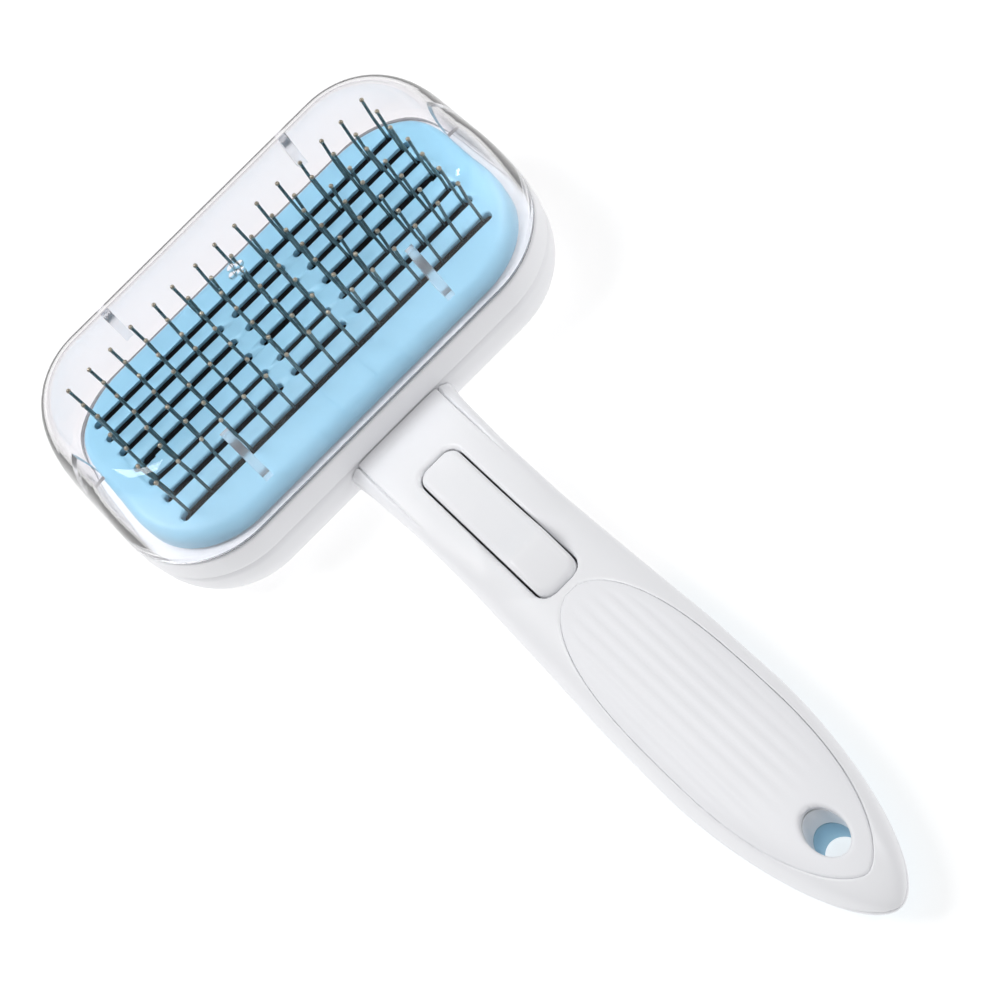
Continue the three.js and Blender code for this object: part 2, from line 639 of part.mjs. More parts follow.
// The lever lies under the button, turns on the pivot pin and reaches under the lift frame.
function leverArm() {
  const side = [
    [-74, -10.2], [PIVOT_Y - 3, -10.2], [PIVOT_Y, PIVOT_Z + 2.6], [PIVOT_Y + 3, PIVOT_Z + 1.6],
    [-14, -13.2], [-3.5, -12.6], [0, -11.2], [3.2, -12.4], [3.2, -13.8],
    [-14, -15.2], [PIVOT_Y + 3, PIVOT_Z - 2.4], [PIVOT_Y - 3, PIVOT_Z - 2.4],
    [PIVOT_Y - 8, -12], [-74, -12],
  ];
  let arm = crossPrism(side, 3.6);
  arm = arm.subtract(crossCylinder(PIVOT_Y, PIVOT_Z, PIVOT_RADIUS + GAP, 12));
  place("lever_arm", arm, GREY_PLASTIC);
}

function pivotPin() {
  place("pivot_pin", crossCylinder(PIVOT_Y, PIVOT_Z, PIVOT_RADIUS, PIVOT_HALF_LENGTH - 0.6), STEEL);
}

// ---- Clear cover ----
function coverInset(z) {
  const share = z / COVER_TOP;
  return 0.08 * z + 9 * (1 - Math.pow(1 - Math.pow(share, 3.2), 1 / 3.2));
}

function coverSkin(wall) {
  const rings = [headRing(wall, wall > 0 ? -3 : GAP)];
  for (const share of [0.15, 0.4, 0.6, 0.75, 0.86, 0.94, 0.985, 1]) {
    const height = COVER_TOP * share;
    rings.push(headRing(coverInset(height) + wall, height - wall * Math.pow(share, 3)));
  }
  return loft(rings);
}

function coverRibs() {
  const half = COVER_RIB_THICKNESS / 2;
  const wallY = HEAD_HALF_Y - COVER_WALL;
  const innerY = wallY - COVER_RIB_DEPTH - 0.8;
  const slopedFoot = (sign) => crossPrism([
    [sign * (wallY + 1), 7.6], [sign * (wallY - 0.4), 7.6], [sign * innerY, 9.4],
    [sign * (innerY - 1.2), COVER_TOP], [sign * (wallY + 1), COVER_TOP],
  ].slice()[sign > 0 ? "slice" : "reverse"](), half);
  let ribs = null;
  for (const sign of [-1, 1]) {
    for (const x of [-COVER_RIB_X, COVER_RIB_X]) {
      const geometry = asGeometry(slopedFoot(sign));
      geometry.translate(x, 0, 0);
      const rib = asSolid(geometry);
      ribs = ribs === null ? rib : ribs.add(rib);
    }
    const endX = sign * (HEAD_HALF_X - COVER_WALL - COVER_RIB_DEPTH - 1.5);
    const farX = sign * HEAD_HALF_X;
    ribs = ribs.add(box(Math.min(endX, farX), Math.max(endX, farX), -half, half, 11.8, COVER_TOP));
  }
  return ribs.intersect(coverSkin(COVER_WALL / 2));
}

function clearCover() {
  const cover = coverSkin(0).subtract(coverSkin(COVER_WALL)).add(coverRibs());
  place("clear_cover", cover, CLEAR_PLASTIC);
}

// ---- Assembly ----
backShell();
headFrame();
handleFront();
frontGrip();
rearGrip();
pinCarrier();
for (let row = 0; row < ROW_COUNT; row += 1) {
  pinRow(row);
}
carrierScrewPlaces().forEach(([x, y], order) => {
  screw(`carrier_screw_${order + 1}`, x, y, LEDGE_LOW - SCREW_HEAD_HEIGHT - GAP, 1, STEEL);
});
HANDLE_SCREW_YS.forEach((y, order) => {
  screw(`handle_screw_${order + 1}`, 0, y, HANDLE_SCREW_LOW, HANDLE_SCREW_TOP, STEEL);
});
pivotPin();
leverArm();
thumbButton();
coilSpring("button_spring", 0, -64, 2, -17.7, -12.6, 0.3, 5);
facePlate();
liftFrame();
liftScrews();
postPlaces().forEach(([x, y], order) => {
  coilSpring(`return_spring_${order + 1}`, x, y, 2, LIFT_FRAME_TOP + 0.7, CARRIER_LOW - 0.7, 0.3, 4);
});
clearCover();

const bounds = new THREE.Box3().setFromObject(brush);
brush.position.set(-(bounds.min.x + bounds.max.x) / 2, -(bounds.min.y + bounds.max.y) / 2, -bounds.min.z);

export default brush;
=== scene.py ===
"""Looks for a self-cleaning slicker brush that lies on its back, with its pins and clear cover up.

Shapes are built in millimetres around the centre of the head, where z = 0 is the shoulder that the
cover stands on and the handle runs towards -Y. They move into the frame when a piece is finished.
"""

import math
import random

import bmesh
import bpy
import numpy as np
from mathutils import Matrix, Vector


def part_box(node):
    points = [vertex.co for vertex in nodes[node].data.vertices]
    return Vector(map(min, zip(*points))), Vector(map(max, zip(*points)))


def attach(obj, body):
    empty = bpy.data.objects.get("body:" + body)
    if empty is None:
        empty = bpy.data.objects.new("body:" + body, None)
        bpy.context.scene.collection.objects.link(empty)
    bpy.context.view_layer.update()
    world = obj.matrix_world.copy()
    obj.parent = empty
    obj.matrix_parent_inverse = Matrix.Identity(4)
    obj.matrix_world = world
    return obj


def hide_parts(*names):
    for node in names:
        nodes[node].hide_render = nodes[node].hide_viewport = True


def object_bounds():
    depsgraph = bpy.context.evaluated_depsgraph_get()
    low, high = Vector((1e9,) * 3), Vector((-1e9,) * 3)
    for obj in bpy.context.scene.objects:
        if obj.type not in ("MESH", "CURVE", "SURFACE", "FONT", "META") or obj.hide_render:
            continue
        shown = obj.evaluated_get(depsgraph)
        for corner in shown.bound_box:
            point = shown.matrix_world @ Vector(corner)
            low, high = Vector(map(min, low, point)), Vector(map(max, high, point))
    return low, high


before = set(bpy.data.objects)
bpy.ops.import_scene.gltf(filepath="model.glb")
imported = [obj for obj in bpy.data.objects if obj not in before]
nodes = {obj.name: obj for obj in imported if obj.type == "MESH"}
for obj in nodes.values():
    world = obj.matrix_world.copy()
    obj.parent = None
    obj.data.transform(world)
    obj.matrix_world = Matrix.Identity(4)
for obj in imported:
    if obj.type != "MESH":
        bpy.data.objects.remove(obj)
cad_low, cad_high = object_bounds()

# ---- Where the head is: its centre across, and the height of its shoulder ----
RING_TOP = 1.3
frame_low, frame_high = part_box("head_frame")
ORIGIN = Vector((0, (frame_low.y + frame_high.y) / 2, frame_high.z - RING_TOP / 1000))
INTO_FRAME = Matrix.Translation(ORIGIN) @ Matrix.Scale(0.001, 4)

# ---- Sizes, in millimetres ----
GAP = 0.3

# The head's outline, the band round it, and the ring and ledge inside the band
HEAD_X, HEAD_Y, HEAD_CORNER, SMALLEST_HEAD_CORNER = 50, 25.5, 19.5, 3
BAND_LOW, BACK_LOW = -6.3, -21
RING_X, RING_Y, RING_WALL = 44.3, 21.3, 1.5
LEDGE_LOW, LEDGE_TOP, LEDGE_X = -4.4, -2.1, 28
SCREW_X, SCREW_Y, SCREW_SHANK, SCREW_HEAD = 33, 17.2, 0.8, 2.2
BOWL_ROUND, BOWL_POWER, BOWL_WALL = 16, 2.6, 2
MOUTH_X, MOUTH_Y = 44, 19
WINDOW_X, WINDOW_LOW, WINDOW_HIGH = 7.2, -16.4, -9.8

# The clear cover, its ribs, and the mark on its flat top
COVER_TOP, COVER_WALL, COVER_THINNING, RIM_TOP = 24, 1.3, 0.42, 0.75
COVER_DRAFT, COVER_ROUND, COVER_POWER = 0.08, 9, 3.2
RIB_X, RIB_THICKNESS, RIB_DEPTH = 23, 1.75, 2.5
RIB_LOW, RIB_LOW_INSIDE, END_RIB_LOW = 7.6, 9.4, 11.8
GATE_X, GATE_Y, GATE_SPREAD, GATE_RADIUS, GATE_LIFT = -0.8, 2.2, 1.15, 2.4, 2.2

# The lifting plate, its slots and its posts
PLATE_X, PLATE_Y, PLATE_CREST, PLATE_CROWN = 46.2, 23.2, 6.6, 0.006
PLATE_LOW, PLATE_THICKNESS, PLATE_ROUND, PLATE_CORNER = 0.8, 1.6, 2.4, HEAD_CORNER - 2.3
SLOT_WIDTH, SLOT_REACH, BRIDGE_X, BRIDGE_WIDTH = 1.7, 39.6, 8.05, 2.5
POST_X, POST_Y, POST_RADIUS, POST_BORE, POST_LOW = 15, 17.5, 1.3, 0.8, -8.3

# The rows of pins and the strips that hold them
ROWS, PINS = 7, 15
ROW_PITCH, PIN_PITCH = 4.95, 5.38
PIN_RADIUS, TIP_RADIUS, PIN_KNEE, PIN_TIP, PIN_LEAN = 0.32, 0.46, 12.3, 20.4, math.radians(10)
LEAN_SPREAD_X, LEAN_SPREAD_Y, BEND_SPREAD, TIP_SPREAD, TIP_CROWN = 0.012, 0.006, 0.02, 0.15, 0.004
STRIP_WIDTH, STRIP_LOW, STRIP_REACH, STRIP_DEPTH, STRIP_CORNER = 1.55, 0.3, 38.3, 0.75, 0.7
CARRIER_TOP = 2.2

# The handle: tables of a value against the place along Y, and how it closes at the tip
TIP_Y, WIDEST_Y, START_Y, MIDDLE_Z, SQUARENESS = -159, -115, -20, -12, 2.4
HALF_WIDTHS = [[-20, 13.5], [-28, 12.3], [-42, 11.7], [-58, 11.8], [-78, 12.6], [-98, 13.55], [-115, 13.75]]
TOPS = [[-20, -6.75], [-45, -6.65], [-75, -5.2], [-98, -3.6], [-115, -3.3]]
LOWS = [[-20, -19.6], [-45, -19.6], [-75, -20.4], [-98, -20.9], [-115, -21]]
TOP_SQUARENESS = [[-20, 6.5], [-30, 5.5], [-62, 2.4]]
PARTING = [[-20, -9.0], [-52, -12], [-175, -12]]
TIP_START_Y, NARROWING, THINNING = WIDEST_Y - 20, (1.8, 0.55), (2.6, 0.5)
SHELL_WALL, HOLLOW_START_Y = 1.8, -76.8
NECK_LINE_X, NECK_LINE_END, NECK_LINE_DEPTH = 10.3, -46, 0.7
HOLE_Y, HOLE_X_HALF, HOLE_Y_HALF, HOLE_BOSS, HOLE_MEET = -143.6, 3.4, 4.7, 1.3, -12.7

# The two grips
GRIP_TOP, GRIP_MIDDLE, GRIP_LOW, GRIP_HALF = -77.6, -117, -153, 11.2
GRIP_TOP_REACH, GRIP_LOW_REACH, GRIP_UPPER_SHAPE, GRIP_LOWER_SHAPE = 10, 12.2, (3, 0.5), (2.4, 0.6)
FRONT_GRIP_DEPTH, REAR_GRIP_DEPTH = 1.2, 2.2
REAR_GRIP_START, REAR_GRIP_TOP = -80, -14.6
FLUTE_PITCH, FLUTE_DEPTH, PAD_PROUD = 2.35, 0.17, 0.12
REAR_RIB_PITCH, REAR_RIB_HEIGHT = 4.2, 0.2

# The thumb button: its outline, and the height of its top against the place along Y
BUTTON_X, BUTTON_GAP, BUTTON_START, BUTTON_END = 4.45, 0.4, -36.6, -75.2
BUTTON_UNDER, BUTTON_ROUND, BUTTON_CORNER, BUTTON_CORNER_STEPS = -9.6, 1.1, 2.6, 10
BUTTON_PROFILE = [
    [-36.6, -6.6], [-38.5, -6.4], [-44, -6.25], [-50, -5.95], [-56, -5.2], [-60, -4.3], [-63.5, -3.0],
    [-65.8, -2.15], [-66.7, -2.0], [-68, -2.35], [-70.5, -3.2], [-72.5, -4.0], [-75.2, -5.3],
]

# Radii of the rounded edges along the seams
SEAM_ROUND, GRIP_EDGE_ROUND, REAR_EDGE_ROUND, BACK_EDGE_ROUND = 0.55, 0.4, 0.7, 0.4
HOLE_EDGE_ROUND, BUTTON_EDGE_ROUND = 0.8, 0.8


# ---- Numbers along a table, with its corners smoothed ----
def along(table, y, spread=2.5):
    table = sorted(table)
    xs = np.array([p[0] for p in table], float)
    ys = np.array([p[1] for p in table], float)
    steps = np.linspace(-spread, spread, 9)
    weights = np.cos(steps / spread * math.pi / 2.2)
    values = [np.interp(np.asarray(y, float) + s, xs, ys) for s in steps]
    return np.tensordot(weights / weights.sum(), np.array(values), 1)


def rolled(distance, radius):
    """How far a surface drops near a rounded edge, by its distance from that edge."""
    near = np.clip(radius - distance, 0, radius)
    return radius - np.sqrt(np.maximum(radius * radius - near * near, 0))


# ---- Solids ----
def solid(name, verts, faces):
    mesh = bpy.data.meshes.new(name)
    mesh.from_pydata([tuple(v) for v in verts], [], faces)
    work = bmesh.new()
    work.from_mesh(mesh)
    bmesh.ops.remove_doubles(work, verts=work.verts, dist=1e-5)
    bmesh.ops.recalc_face_normals(work, faces=work.faces)
    work.to_mesh(mesh)
    work.free()
    thing = bpy.data.objects.new(name, mesh)
    bpy.context.scene.collection.objects.link(thing)
    return thing


def loft(name, rings, mirror=None):
    """Joins closed rings into a solid. With mirror, the last cap joins each point i to point mirror - i."""
    count = len(rings[0])
    verts = [p for ring in rings for p in ring]
    last = len(verts) - count
    faces = [tuple(range(count))]
    if mirror is None:
        faces.append(tuple(range(last, len(verts))))
    else:
        for step in range(mirror // 2 - count // 2, mirror // 2):
            corners = [step, step + 1, mirror - step - 1, mirror - step]
            face = []
            for corner in corners:
                index = last + corner % count
                if index not in face:
                    face.append(index)
            if len(face) > 2:
                faces.append(tuple(face))
    for level in range(len(rings) - 1):
        for step in range(count):
            a = level * count + step
            b = level * count + (step + 1) % count
            faces.append((a, b, b + count, a + count))
    return solid(name, verts, faces)


def box(name, x0, x1, y0, y1, z0, z1):
    return prism(name, [(x0, y0), (x1, y0), (x1, y1), (x0, y1)], z0, z1)


def prism(name, outline, z0, z1):
    return loft(name, [[(x, y, z) for x, y in outline] for z in (z0, z1)])


def cross_prism(name, outline, x0, x1):
    return loft(name, [[(x, y, z) for y, z in outline] for x in (x0, x1)])


def combine(base, tool, how, keep_tool=False):
    change = base.modifiers.new("combine", "BOOLEAN")
    change.operation = how
    change.object = tool
    change.solver = "MANIFOLD"
    graph = bpy.context.evaluated_depsgraph_get()
    mesh = bpy.data.meshes.new_from_object(base.evaluated_get(graph))
    base.modifiers.clear()
    base.data = mesh
    if not keep_tool:
        bpy.data.objects.remove(tool)
    return base


def cut(base, tool):
    return combine(base, tool, "DIFFERENCE")


def join(base, tool):
    return combine(base, tool, "UNION")


def overlap(base, tool, keep_tool=False):
    return combine(base, tool, "INTERSECT", keep_tool)


def paint_faces(thing, index, chosen):
    """Gives a finished piece's other material to the faces chosen by their middle, in millimetres."""
    back = INTO_FRAME.inverted()
    for face in thing.data.polygons:
        if chosen(back @ face.center):
            face.material_index = index


def finish_piece(thing, name, body, finishes, stands_for=(), sharp=38):
    """Moves a finished solid into the frame, gives it its name, body and materials, and hides the parts it
    stands for.
    """
    thing.data.transform(INTO_FRAME)
    thing.name = name
    thing.data.name = name
    thing.data.shade_smooth()
    thing.data.set_sharp_from_angle(angle=math.radians(sharp))
    thing.data.materials.clear()
    for finish in finishes:
        thing.data.materials.append(finish)
    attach(thing, body)
    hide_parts(*stands_for)
    return thing


# ---- Outlines seen from above ----
def rounded(half_x, half_y, corner, corner_steps=22, long_steps=2, short_steps=2):
    """A rounded rectangle, always with the same number of points in the same order."""
    corner = max(min(corner, half_x - 0.01, half_y - 0.01), 0.01)
    points = []
    for sign_x, sign_y, start in [(1, 1, 0), (-1, 1, 90), (-1, -1, 180), (1, -1, 270)]:
        for step in range(corner_steps + 1):
            angle = math.radians(start + 90 * step / corner_steps)
            points.append((sign_x * (half_x - corner) + corner * math.cos(angle),
                           sign_y * (half_y - corner) + corner * math.sin(angle)))
        steps = long_steps if start in (0, 180) else short_steps
        ahead = {0: (-1, 1), 90: (-1, -1), 180: (1, -1), 270: (1, 1)}[start]
        last = points[-1]
        if start in (0, 180):
            target = (ahead[0] * (half_x - corner), last[1])
        else:
            target = (last[0], ahead[1] * (half_y - corner))
        for step in range(1, steps):
            share = step / steps
            points.append((last[0] + (target[0] - last[0]) * share,
                           last[1] + (target[1] - last[1]) * share))
    return points


def head_ring(inset, z):
    corner = max(HEAD_CORNER - inset, SMALLEST_HEAD_CORNER)
    return [(x, y, z) for x, y in rounded(HEAD_X - inset, HEAD_Y - inset, corner)]


def oval(centre_y, half_x, half_y, sides=72):
    turn = [2 * math.pi * step / sides for step in range(sides)]
    return [(half_x * math.cos(a), centre_y + half_y * math.sin(a)) for a in turn]


def grip_outline(extra):
    """The front grip's outline, with its points closer together near both ends."""
    ys = np.concatenate([
        GRIP_TOP - GRIP_TOP_REACH * (1 - np.cos(np.linspace(0, math.pi / 2, 26))),
        np.linspace(GRIP_TOP - GRIP_TOP_REACH - 0.8, GRIP_LOW + GRIP_LOW_REACH + 0.8, 60),
        GRIP_LOW + GRIP_LOW_REACH * (1 - np.sin(np.linspace(0, math.pi / 2, 30))),
    ])
    halves = np.maximum(grip_half(ys), 0)
    right = list(zip(halves, ys))
    left = [(-x, y) for x, y in right[1:-1]][::-1]
    points = np.array(right + left)
    before = np.roll(points, 1, axis=0)
    after = np.roll(points, -1, axis=0)
    direction = after - before
    direction /= np.linalg.norm(direction, axis=1)[:, None]
    outward = np.stack([-direction[:, 1], direction[:, 0]], 1)
    middle = np.array([0, WIDEST_Y])
    outward *= np.sign(((points - middle) * outward).sum(1))[:, None]
    return [tuple(p) for p in points + outward * extra]


def grip_half(y):
    """Half the width of the front grip: blunt at the top, drawn to a rounded point past the hang hole."""
    y = np.asarray(y, float)
    upper = np.clip((y - GRIP_MIDDLE) / (GRIP_TOP - GRIP_MIDDLE), 0, 1)
    lower = np.clip((GRIP_MIDDLE - y) / (GRIP_MIDDLE - GRIP_LOW), 0, 1)
    power, root = GRIP_UPPER_SHAPE
    above = GRIP_HALF * np.power(np.maximum(1 - upper ** power, 0), root)
    power, root = GRIP_LOWER_SHAPE
    below = GRIP_HALF * np.power(np.maximum(1 - lower ** power, 0), root)
    return np.where(y > GRIP_MIDDLE, above, below)


def distance_to_outline(points, outline):
    """Signed distance in the plane, positive inside a closed outline."""
    loop = np.array(outline)
    ends = np.roll(loop, -1, axis=0)
    best = np.full(len(points), 1e9)
    inside = np.zeros(len(points), bool)
    for (ax, ay), (bx, by) in zip(loop, ends):
        edge = np.array([bx - ax, by - ay])
        rel = points - (ax, ay)
        t = np.clip(rel @ edge / max(edge @ edge, 1e-12), 0, 1)
        best = np.minimum(best, np.hypot(*(rel - t[:, None] * edge).T))
        crosses = (ay > points[:, 1]) != (by > points[:, 1])
        with np.errstate(divide="ignore", invalid="ignore"):
            at = ax + (points[:, 1] - ay) * (bx - ax) / (by - ay)
        inside ^= crosses & (points[:, 0] < at)
    return np.where(inside, best, -best)


# ---- Handle ----
def handle_body(name, inset=0.0, sides=60, pitch=2.5, lowering=None):
    """The handle's outer shape drawn in by inset. lowering(x, y, z) draws single points in further."""
    straight = np.arange(START_Y, TIP_START_Y, -pitch)
    quarter = np.linspace(0, 1, int(40 / pitch) + 8) * math.pi / 2
    tip = TIP_START_Y + (TIP_Y - TIP_START_Y) * np.sin(quarter)
    ys = np.concatenate([straight, tip])
    share = np.clip((WIDEST_Y - ys) / (WIDEST_Y - TIP_Y), 0, 1)
    narrowing = np.power(np.maximum(1 - share ** NARROWING[0], 0), NARROWING[1])
    thinning = np.power(np.maximum(1 - share ** THINNING[0], 0), THINNING[1])
    half = np.maximum(along(HALF_WIDTHS, ys) * narrowing - inset, 0.05)
    rise = np.maximum((along(TOPS, ys) - MIDDLE_Z) * thinning - inset, 0.04)
    drop = np.maximum((MIDDLE_Z - along(LOWS, ys)) * thinning - inset, 0.04)
    placed = ys + inset * share ** 6
    placed[0] += max(inset, 0)
    turn = 2 * math.pi * (np.arange(sides) + 0.5) / sides
    turn = turn + 0.16 * np.sin(2 * turn)
    cos, sin = np.cos(turn), np.sin(turn)
    power = np.where(sin > 0, along(TOP_SQUARENESS, ys)[:, None], SQUARENESS)
    shape_x = np.sign(cos) * np.abs(cos) ** (2 / power)
    shape_z = np.sign(sin) * np.abs(sin) ** (2 / power)
    height = np.where(sin > 0, rise[:, None], drop[:, None])
    x = half[:, None] * shape_x
    z = height * shape_z
    y = np.repeat(placed[:, None], sides, 1)
    if lowering is not None:
        normal_x = np.sign(shape_x) * np.abs(shape_x) ** (power - 1) / half[:, None]
        normal_z = np.sign(shape_z) * np.abs(shape_z) ** (power - 1) / height
        size = np.hypot(normal_x, normal_z)
        drawn = lowering(x.ravel(), y.ravel(), (z + MIDDLE_Z).ravel()).reshape(x.shape)
        x = x - drawn * normal_x / size
        z = z - drawn * normal_z / size
    rings = np.stack([x, y, z + MIDDLE_Z], -1)
    return loft(name, rings.tolist())


def side_region(upper, shift):
    ys = np.linspace(START_Y + 6, TIP_Y - 6, 60)
    edge = [(y, float(along(PARTING, y, 6)) + shift) for y in ys]
    far = 30 if upper else -50
    return cross_prism("region", [*edge, (ys[-1], far), (ys[0], far)], -40, 40)


def button_outline(extra):
    centre = (BUTTON_START + BUTTON_END) / 2
    half_y = (BUTTON_START - BUTTON_END) / 2 + extra
    outline = rounded(BUTTON_X + extra, half_y, BUTTON_CORNER + extra, BUTTON_CORNER_STEPS, 2, 2)
    return [(x, y + centre) for x, y in outline]


GRIP_EDGE = grip_outline(0)
BUTTON_EDGE = button_outline(BUTTON_GAP)


def hole_distance(x, y):
    scaled = np.hypot(x / HOLE_X_HALF, (y - HOLE_Y) / HOLE_Y_HALF)
    return (scaled - 1) * (HOLE_X_HALF + HOLE_Y_HALF) / 2


def front_lowering(x, y, z):
    spot = np.stack([x, y], 1)
    above = z > along(PARTING, y, 6)
    drop = rolled(z - along(PARTING, y, 6) - GAP / 2, SEAM_ROUND)
    inside_grip = distance_to_outline(spot, GRIP_EDGE)
    drop = np.maximum(drop, rolled(-inside_grip, GRIP_EDGE_ROUND) * above * (inside_grip < 0.2))
    drop = np.maximum(drop, rolled(-distance_to_outline(spot, BUTTON_EDGE), BUTTON_EDGE_ROUND) * above)
    fade = np.clip((y - NECK_LINE_END) / 12, 0, 1)
    neck_line = NECK_LINE_DEPTH * np.exp(-((np.abs(x) - NECK_LINE_X) / 0.18) ** 2) * fade
    return (drop + neck_line) * above


def pad_lowering(x, y, z):
    spot = np.stack([x, y], 1)
    inside = distance_to_outline(spot, GRIP_EDGE)
    above = z > MIDDLE_Z
    edge = rolled(inside, GRIP_EDGE_ROUND)
    fade = np.clip((inside - 1.2) / 1.6, 0, 1)
    fade = fade * fade * (3 - 2 * fade)
    fade = fade * np.clip((y + 138) / 10, 0, 1) * np.clip((-80 - y) / 6, 0, 1)
    flutes = FLUTE_DEPTH * (0.5 - 0.5 * np.cos(2 * math.pi * (x / FLUTE_PITCH + 0.5))) * fade
    hole = rolled(hole_distance(x, y), HOLE_EDGE_ROUND)
    return (np.maximum(edge, hole) + flutes - PAD_PROUD) * above


def rear_lowering(x, y, z):
    below = z < MIDDLE_Z
    edge = np.minimum(REAR_GRIP_START - y, REAR_GRIP_TOP - z)
    drop = np.maximum(rolled(edge, REAR_EDGE_ROUND), rolled(hole_distance(x, y), HOLE_EDGE_ROUND))
    fade = np.clip((edge - 1.5) / 2, 0, 1) * np.clip((y + 140) / 8, 0, 1)
    ribs = REAR_RIB_HEIGHT * (0.5 - 0.5 * np.cos(2 * math.pi * y / REAR_RIB_PITCH)) * fade
    return (drop + ribs) * below


def back_lowering(x, y, z):
    parting = along(PARTING, y, 6)
    below = z < parting
    drop = rolled(parting - GAP / 2 - z, SEAM_ROUND)
    bed = np.maximum(y - REAR_GRIP_START, z - REAR_GRIP_TOP) - GAP
    drop = np.maximum(drop, rolled(np.where(bed > -0.4, bed, 9), SEAM_ROUND))
    return drop * below


def hang_hole(extra, z0, z1):
    return prism("hole", oval(HOLE_Y, HOLE_X_HALF + extra, HOLE_Y_HALF + extra), z0, z1)


def bowl(name, inset):
    rings = []
    depth = BAND_LOW - GAP - BACK_LOW
    for share in np.sin(np.linspace(0, math.pi / 2, 26)):
        drawn = BOWL_ROUND * (1 - (1 - share ** BOWL_POWER) ** (1 / BOWL_POWER))
        rolled_edge = float(rolled(depth * share, BACK_EDGE_ROUND))
        rings.append(head_ring(GAP + drawn + inset + rolled_edge,
                               BAND_LOW - GAP - depth * share + inset * share))
    return loft(name, rings)


def make_handle_front():
    skin = handle_body("front", 0, 240, 0.4, front_lowering)
    overlap(skin, side_region(True, GAP / 2))
    hollow = handle_body("hollow", SHELL_WALL)
    overlap(hollow, box("limit", -20, 20, HOLLOW_START_Y, 0, -30, 10))
    join(hollow, handle_body("hollow", FRONT_GRIP_DEPTH + 2.1))
    cut(skin, hollow)
    cut(skin, bowl("bowl", -GAP))
    bed = handle_body("bed", -2)
    cut(bed, handle_body("inner", FRONT_GRIP_DEPTH + 0.6))
    overlap(bed, prism("limit", grip_outline(0.04), MIDDLE_Z + 2, 10))
    cut(skin, bed)
    cut(skin, prism("opening", BUTTON_EDGE, -14, 5))
    boss = hang_hole(HOLE_BOSS, HOLE_MEET + GAP / 2, 10)
    overlap(boss, handle_body("limit", FRONT_GRIP_DEPTH + 0.75))
    join(skin, boss)
    cut(skin, hang_hole(0, -30, 10))
    return skin


def make_front_grip():
    pad = handle_body("grip", 0, 320, 0.4, pad_lowering)
    cut(pad, handle_body("inner", FRONT_GRIP_DEPTH))
    overlap(pad, prism("limit", GRIP_EDGE, MIDDLE_Z + 2.5, 10))
    return cut(pad, hang_hole(0, -30, 10))


def make_rear_grip():
    pad = handle_body("grip", 0, 240, 0.4, rear_lowering)
    cut(pad, handle_body("inner", REAR_GRIP_DEPTH))
    overlap(pad, box("limit", -20, 20, TIP_Y - 5, REAR_GRIP_START, -30, REAR_GRIP_TOP))
    boss = hang_hole(HOLE_BOSS, -30, HOLE_MEET - GAP / 2)
    overlap(boss, handle_body("limit", 0.15))
    join(pad, boss)
    return cut(pad, hang_hole(0, -30, 10))


def make_back_shell():
    skin = handle_body("back", 0, 240, 0.4, back_lowering)
    overlap(skin, side_region(False, -GAP / 2))
    shell = bowl("bowl", 0)
    join(shell, skin)
    cut(shell, bowl("hollow", BOWL_WALL))
    cut(shell, box("mouth", -MOUTH_X, MOUTH_X, -MOUTH_Y, MOUTH_Y, -12, BAND_LOW + 5))
    hollow = handle_body("hollow", SHELL_WALL)
    overlap(hollow, box("limit", -20, 20, HOLLOW_START_Y, 0, -30, 10))
    join(hollow, handle_body("hollow", REAR_GRIP_DEPTH + SHELL_WALL))
    cut(shell, hollow)
    cut(shell, box("window", -WINDOW_X, WINDOW_X, -30, -15, WINDOW_LOW, WINDOW_HIGH))
    bed = handle_body("bed", -2)
    cut(bed, handle_body("inner", REAR_GRIP_DEPTH + GAP))
    overlap(bed, box("limit", -20, 20, TIP_Y - 5, REAR_GRIP_START + GAP, -30, REAR_GRIP_TOP + GAP))
    cut(shell, bed)
    return cut(shell, hang_hole(HOLE_BOSS + GAP, -30, 0))


# ---- Head ----
def ring_outline(inset, z):
    outline = rounded(RING_X - inset, RING_Y - inset, HEAD_CORNER - (HEAD_Y - RING_Y) - inset)
    return [(x, y, z) for x, y in outline]


def make_head_frame():
    profile = [(0.5, BAND_LOW), (0.2, BAND_LOW + 0.15), (0.05, BAND_LOW + 0.4), (0, BAND_LOW + 0.9),
               (0, -0.9), (0.06, -0.5), (0.2, -0.2), (0.45, -0.04), (0.8, 0)]
    band = loft("band", [head_ring(inset, z) for inset, z in profile])
    ring_profile = [(0, BAND_LOW + 0.5), (0, RING_TOP - 0.3), (0.1, RING_TOP - 0.08), (0.3, RING_TOP)]
    join(band, loft("ring", [ring_outline(inset, z) for inset, z in ring_profile]))
    cut(band, loft("hollow", [ring_outline(RING_WALL, -30), ring_outline(RING_WALL, 30)]))
    ledge = loft("ledge", [ring_outline(0.5, LEDGE_LOW), ring_outline(0.5, LEDGE_TOP)])
    join(band, cut(ledge, box("middle", -LEDGE_X, LEDGE_X, -30, 30, -10, 10)))
    for x in (-SCREW_X, SCREW_X):
        for y in (-SCREW_Y, SCREW_Y):
            for radius, top in [(SCREW_SHANK + GAP, 0), (SCREW_HEAD + GAP, LEDGE_LOW)]:
                bore = prism("bore", oval(y, radius, radius, 24), -10, top)
                bore.data.transform(Matrix.Translation((x, 0, 0)))
                cut(band, bore)
    return band


def plate_height(y):
    return PLATE_CREST - PLATE_CROWN * y * y


